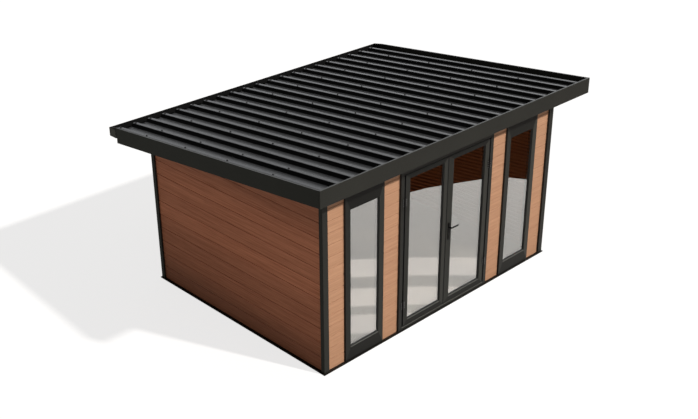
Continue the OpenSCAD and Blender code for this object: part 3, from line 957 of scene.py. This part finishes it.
def roof_sheet():
    """Ribbed sheet with rounded bends, laid on the slope and cut to its width."""
    low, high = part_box("roof_sheet")
    half, foot, crown = RIB_PITCH / 2, RIB_CROWN / 2 + RIB_WEB, RIB_CROWN / 2
    corners = [Vector(corner) for corner in ((-half, 0), (-foot, 0), (-crown, RIB_H),
                                             (crown, RIB_H), (foot, 0), (half, 0))]
    line = [corners[0]]
    for before, here, after in zip(corners, corners[1:], corners[2:]):
        start = here + (before - here).normalized() * RIB_BEND
        line += bend(start, here, here + (after - here).normalized() * RIB_BEND, 4)
    line.append(corners[-1])

    origin = Vector((low.x + FIRST_RIB, low.y,
                     roof_z(low.y) - SHEET_DROP - RIB_H * ROOF_NORMAL.z))
    run = DOWN_SLOPE * ((high.y - low.y) / DOWN_SLOPE.y - RIB_H * ROOF_NORMAL.y)
    bm = bmesh.new()
    near = [bm.verts.new(origin + X * a + ROOF_NORMAL * b) for a, b in line]
    far = [bm.verts.new(vert.co + run) for vert in near]
    for i in range(len(near) - 1):
        bm.faces.new((near[i], near[i + 1], far[i + 1], far[i]))
    rib = closed(bm)
    rib.materials.append(ROOF_BLACK)

    sheet = in_row(rib, ceil((high.x - low.x - FIRST_RIB + foot) / RIB_PITCH), X * RIB_PITCH)
    bm = opened(sheet, weld=True)
    for x, way in ((low.x, -X), (high.x, X)):
        slice_away(bm, (x, 0, 0), way)
    for face in bm.faces:
        face.normal_update()
        if face.normal.z < 0:
            face.normal_flip()
    bmesh.ops.solidify(bm, geom=bm.faces[:], thickness=SHEET_T)
    # The new skin's faces come in no fixed order, so they are sorted.
    bm.verts.index_update()
    bm.faces.sort(key=lambda face: face.verts[0].index * len(bm.verts) + face.verts[1].index)
    stand_in("ribbed_sheet", [closed(bm, sheet)], "roof_sheet")


def screw(washer_r, head_r):
    """A hexagon head on a sealing washer, as two meshes."""
    washer = turned([(washer_r, 0), (washer_r, 1.2 * MM), (washer_r * 0.82, 2.2 * MM)],
                    Vector(), Z, RUBBER, 16)
    head = turned([(head_r * 1.3, 2.2 * MM), (head_r * 1.3, 3 * MM), (head_r, 3.2 * MM),
                   (head_r, 7.4 * MM), (head_r * 0.82, 8.2 * MM)], Vector(), Z, BASE_BLACK, 6)
    return washer, head


def roof_screws():
    """Screws in rows across the first rib and every other one, and one near the eaves on each."""
    low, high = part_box("roof_sheet")
    tilt = Matrix.Rotation(-atan(FALL), 4, "X")
    field, eaves = [-1.05 + 0.745 * n for n in range(4)], [1.725]
    small, large = (11 * MM, 6 * MM), (15 * MM, 7 * MM)
    meshes = []
    for first, step, count, places, sizes in ((0, 1, 1, field, small), (1, 2, 10, field, small),
                                              (0, 1, 21, eaves, large)):
        for seed, part in enumerate(screw(*sizes)):
            row = in_row(part, count, X * RIB_PITCH * step, 1.0, seed)
            row.transform(tilt)
            for y in places:
                spot = (low.x + FIRST_RIB + first * RIB_PITCH, y, high.z - (y - low.y) * FALL)
                meshes.append(row.copy())
                meshes[-1].transform(Matrix.Translation(spot))
    set_piece("roof_screws", meshes, "roof_sheet")


def eaves_batten():
    """A black batten between the back fascia and the gutter, and the gutter's closed ends."""
    fascia, (low, high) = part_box("fascia_back"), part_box("gutter")
    play = 1 * MM
    y0, y1, z0 = fascia[1].y + play, low.y - play, low.z + 5 * MM
    batten = bar((low.x + play, y0, z0), (high.x - play, y1, fascia[1].z - 14 * MM), RUBBER,
                 1 * MM)
    set_piece("eaves_batten", [batten], "gutter")

    lip_y, lip_z, lip_t = high.y - 2 * MM, high.z + 0.4 * MM, 2 * MM
    closer = [(y0, z0), (y1, z0), (y1, lip_z), (lip_y, lip_z), (lip_y, lip_z + lip_t),
              (y0, roof_z(fascia[1].y) - 1.5 * MM)]
    cap = oblong(low.y, low.z, high.y, high.z)
    ends = []
    for x, way in ((low.x, -X), (high.x, X)):
        for section, inset, run, finish in ((closer, 17 * MM, 15.5 * MM, RUBBER),
                                            (cap, CAP_T, CAP_T, LIT_CAP_BLACK)):
            start = X * x - way * inset
            ends.append(drawn(section, start, Y, Z, way * run, finish))
    set_piece("gutter_end_closers", ends, "gutter")


# ------------ door furniture

def screw_head(centre, axis, radius, finish):
    """A countersunk head with a round recess."""
    return turned([(radius, 0), (radius, 0.5 * MM), (radius * 0.8, 0.9 * MM),
                   (radius * 0.42, 0.9 * MM), (radius * 0.3, 0.1 * MM)], centre, axis, finish, 16)


def pivot(name):
    """The place of a joint's axis."""
    return next(joint["pos_m"] for joint in frame["joints"] if joint["name"] == name)


def hinges():
    """Barrel hinges: plates with screws, three knuckles and a pin with domed ends."""
    dome = [(PIN_R - 1 * MM, 0), (PIN_R - 1 * MM, 2 * MM), (PIN_R * 0.7, 4 * MM),
            (PIN_R * 0.3, 5 * MM)]
    for part, side in (("left", -1), ("right", 1)):
        fixed_node, moving_node = "frame_hinges_" + part, "leaf_hinges_" + part
        fixed, moving = [[eased_copy(node, HINGE_BLACK, 0.7 * MM)]
                         for node in (fixed_node, moving_node)]
        x, y, _ = pivot(part + "_leaf_hinge")
        low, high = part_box(fixed_node)
        for z in (low.z + HINGE_HALF, high.z - HINGE_HALF):
            for way, kept in ((side, fixed), (-side, moving)):
                for rise in SCREW_RISES:
                    spot = Vector((x + way * SCREW_OUT, y + PIN_R - HINGE_PLATE_T, z + rise))
                    kept.append(screw_head(spot, -Y, 3.6 * MM, STEEL))
            for end in (-1, 1):
                tip = Vector((x, y, z + end * HINGE_HALF))
                fixed.append(turned(dome, tip, Z * end, HINGE_BLACK, 24))
        stand_in("frame_hinge_plates_" + part, fixed, fixed_node)
        stand_in("leaf_hinge_plates_" + part, moving, moving_node)


def handle():
    """Long plates with a lock keyhole, and a lever with rounded grips on both faces."""
    low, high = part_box("handle_plates")
    plate_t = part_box("door_leaf_right")[0].y - low.y
    x, _, z = pivot("lever_turn")
    outline = softened(oblong(low.x, low.z, high.x, high.z), 10 * MM, 8)
    rim = [(8.5 * MM, 0), (8.5 * MM, 1.5 * MM), (7.5 * MM, 2.2 * MM), (4 * MM, 2.2 * MM)]
    hole = [(3.2 * MM, 2.2 * MM), (3.2 * MM, 2.4 * MM)]
    plates = []
    for y, inward in ((low.y, Y), (high.y, -Y)):
        key = Vector((x, y, z + KEY_RISE))
        plates += [drawn(outline, Y * y, X, Z, inward * plate_t, HANDLE_BLACK),
                   turned(rim, key, -inward, HINGE_BLACK, 24),
                   turned(hole, key, -inward, RUBBER, 12)]
        for rise in PLATE_SCREW_RISES:
            plates.append(screw_head(Vector((x, y, z + rise)), -inward, 3.4 * MM, HINGE_BLACK))
    stand_in("handle_backplates", plates, "handle_plates")
    stand_in("lever_eased", [eased_copy("door_lever", HANDLE_BLACK, 0.5 * MM)], "door_lever")


# ------------ stage

CAMERA_SPOT = Vector((-8.5853, -8.6211, 6.8843))
CAMERA_HEADING, CAMERA_TILT, CAMERA_ROLL = radians(44.66), radians(-26.66), radians(-0.16)
LENS, SENSOR = 55.15, 36

SUN_TO = Vector((0.42, -1, 0.88)).normalized()
SUN_STRENGTH, SUN_TINT = 3.2, (1, 0.97, 0.93)
SKY_STRENGTH, SKY_TINT = 0.22, (1, 0.95, 0.91, 1)
WHITE = (1, 1, 1, 1)
BASE_HALVES = (2, 1.57)

# What glass and gloss mirror in front, below eye level: bands of ground from grey at the
# feet, parted at these angles down, and a far haze. They sit a little high and slope a little,
# and the ramp spans the two angles of its ends.
GREY, CREAM, HAZE = (0.78, 0.745, 0.71), (1.23, 1.15, 1.08), (0.9, 0.86, 0.82)
BAND_EDGES, HAZE_AT = (33.2, 32.25, 31.8, 30.88, 30.29, 29.36), 25
RAMP_ENDS, BAND_BLUR = (35, 22), 0.004
HORIZON_RISE, HORIZON_TILT = 0.0366, 0.06

# Above slanting planes, given by their normals, the ground gives way to a dark slatted room.
# Its corner ends the last plane, and its slats have a plane of their own. Behind is plain.
ROOM_PLANES = ((0.22, -0.4738, 1), (0.4, -0.2313, 1), (0.148, -0.5575, 1))
ROOM_CORNER = 1.085
SLAT_PLANE, SLATS_PER_UNIT = (0.487, -0.108, 1), 290
SLAT_GAP, SLAT_FACE = (0.005, 0.001, 0), (0.082, 0.024, 0.009)
BEHIND = (0.3, 0.315, 0.285, 1)


def camera():
    """The view from the front left and above."""
    lens = bpy.data.cameras.new("camera")
    lens.lens, lens.sensor_width = LENS, SENSOR
    forward = Vector((cos(CAMERA_TILT) * sin(CAMERA_HEADING),
                      cos(CAMERA_TILT) * cos(CAMERA_HEADING), sin(CAMERA_TILT)))
    level = Vector((cos(CAMERA_HEADING), -sin(CAMERA_HEADING), 0))
    right = Matrix.Rotation(-CAMERA_ROLL, 3, forward) @ level
    turn = Matrix((right, right.cross(forward), -forward)).transposed().to_4x4()
    SCENE.camera = shown("camera", lens)
    SCENE.camera.matrix_world = Matrix.Translation(CAMERA_SPOT) @ turn


def lamps():
    sun = bpy.data.lights.new("sun", "SUN")
    sun.energy, sun.angle, sun.color = SUN_STRENGTH, radians(2), SUN_TINT
    shown("sun", sun).matrix_world = SUN_TO.to_track_quat("Z", "Y").to_matrix().to_4x4()


def backdrop():
    """A wide pale floor: the camera sees it white with a soft shadow."""
    mesh = bpy.data.meshes.new("floor")
    mesh.from_pydata([(x, y, 0) for x, y in oblong(-60, -60, 60, 60)], [], [(0, 1, 2, 3)])
    finish = bpy.data.materials.new("studio_floor")
    finish.use_nodes = True
    mesh.materials.append(finish)
    tree = finish.node_tree
    tree.nodes.remove(tree.nodes["Principled BSDF"])
    path = shader_node(tree, "LightPath").outputs

    # Painted shade: for bounced light the floor is dark close to the base and pale from 2 m away, so it throws
    # back little light near the walls.
    away = [math("SUBTRACT", math("ABSOLUTE", spot), base_half)
            for spot, base_half in zip(place(tree), BASE_HALVES)]
    apart = math("DIVIDE", math("MAXIMUM", *away), 2)
    ground_with_painted_shade = ramp(apart, (0, (0.1, 0.09, 0.08)), (1, (0.6, 0.56, 0.53)))
    mirrored = either_shader(path["Is Glossy Ray"], lit(tree, "BsdfDiffuse", ground_with_painted_shade),
                             lit(tree, "BsdfTransparent", WHITE))
    seen = {0: lit(tree, "BsdfDiffuse", (0.34, 0.34, 0.34, 1)),
            1: lit(tree, "Emission", WHITE, Strength=0.75)}
    seen = shader_node(tree, "AddShader", seen).outputs[0]
    feed(tree.nodes["Material Output"],
         Surface=either_shader(path["Is Camera Ray"], mirrored, seen))
    shown("studio_floor", mesh)


def ground_bands(x, z):
    """Grey and cream bands of ground by their angle below eye level, under a far haze."""
    low, high = [sin(radians(-degrees)) for degrees in RAMP_ENDS]

    def spot(degrees):
        return (sin(radians(-degrees)) - low) / (high - low)

    stops, tones = [(0, GREY)], (GREY, CREAM)
    for n, degrees in enumerate(BAND_EDGES):
        stops += [(spot(degrees) - BAND_BLUR, tones[n % 2]),
                  (spot(degrees) + BAND_BLUR, tones[(n + 1) % 2])]
    tilted = math("SUBTRACT", plus(z, HORIZON_RISE), times(x, HORIZON_TILT))
    return ramp(share(tilted, low, high), *stops, (spot(HAZE_AT), HAZE))


def past(way, plane):
    """How far a direction points past a plane."""
    dot = shader_node(way.id_data, "VectorMath", {0: way, 1: plane}, operation="DOT_PRODUCT")
    return dot.outputs["Value"]


def sky():
    """Plain light for the surfaces, and a studio for glass and gloss to mirror."""
    world = bpy.data.worlds.new("studio")
    world.use_nodes = True
    tree = world.node_tree
    path = shader_node(tree, "LightPath").outputs
    way = shader_node(tree, "TexCoord").outputs["Generated"]
    x, y, z = shader_node(tree, "SeparateXYZ", {0: way}).outputs

    slants = [past(way, plane) for plane in ROOM_PLANES]
    corner = plus(x, times(y, ROOM_CORNER))
    slant = math("MAXIMUM", math("MAXIMUM", *slants[:2]), math("MINIMUM", slants[2], corner))
    front = math("LESS_THAN", y, 0)
    slat = math("FRACT", times(past(way, SLAT_PLANE), SLATS_PER_UNIT))
    slats = ramp(slat, (0, SLAT_GAP), (0.3, SLAT_GAP), (0.45, SLAT_FACE),
                 (0.85, SLAT_FACE), (1, SLAT_GAP))
    low_half = either(times(front, math("LESS_THAN", slant, 0)),
                      either(front, BEHIND, slats), ground_bands(x, z))

    # Overhead it is dark to the left and bright to the right, and brightest low down.
    across = ramp(x, (0, (0.02, 0.02, 0.02)), (0.4, (0.78, 0.8, 0.83)),
                  (0.58, (0.79, 0.81, 0.84)), (0.72, (1.12, 1.14, 1.17)),
                  (0.85, (1.36, 1.38, 1.4)))
    lift = greys(z, (0.15, 1.15), (0.21, 1.08), (0.27, 0.76), (0.6, 0.8))
    mirrored = either(math("GREATER_THAN", z, 0), low_half, tinted(across, lift))

    plain, studio, white = [lit(tree, "Background", colour, Strength=strength) for colour, strength
                            in ((SKY_TINT, SKY_STRENGTH), (mirrored, 1), (WHITE, 1))]
    gloss = either_shader(path["Is Glossy Ray"], plain, studio)
    tree.nodes.remove(tree.nodes["Background"])
    feed(tree.nodes["World Output"],
         Surface=either_shader(path["Is Camera Ray"], gloss, white))
    SCENE.world = world


for make in (camera, side_walls, back_wall, front_walls, windows, shade_strips_by_frames, door_leaves,
             door_surround, threshold, plain_pieces, room_floor, ceiling_boards, roof_sheet,
             roof_screws, eaves_batten, hinges, handle, lamps, backdrop, sky):
    make()
SCENE.view_settings.view_transform = "Standard"
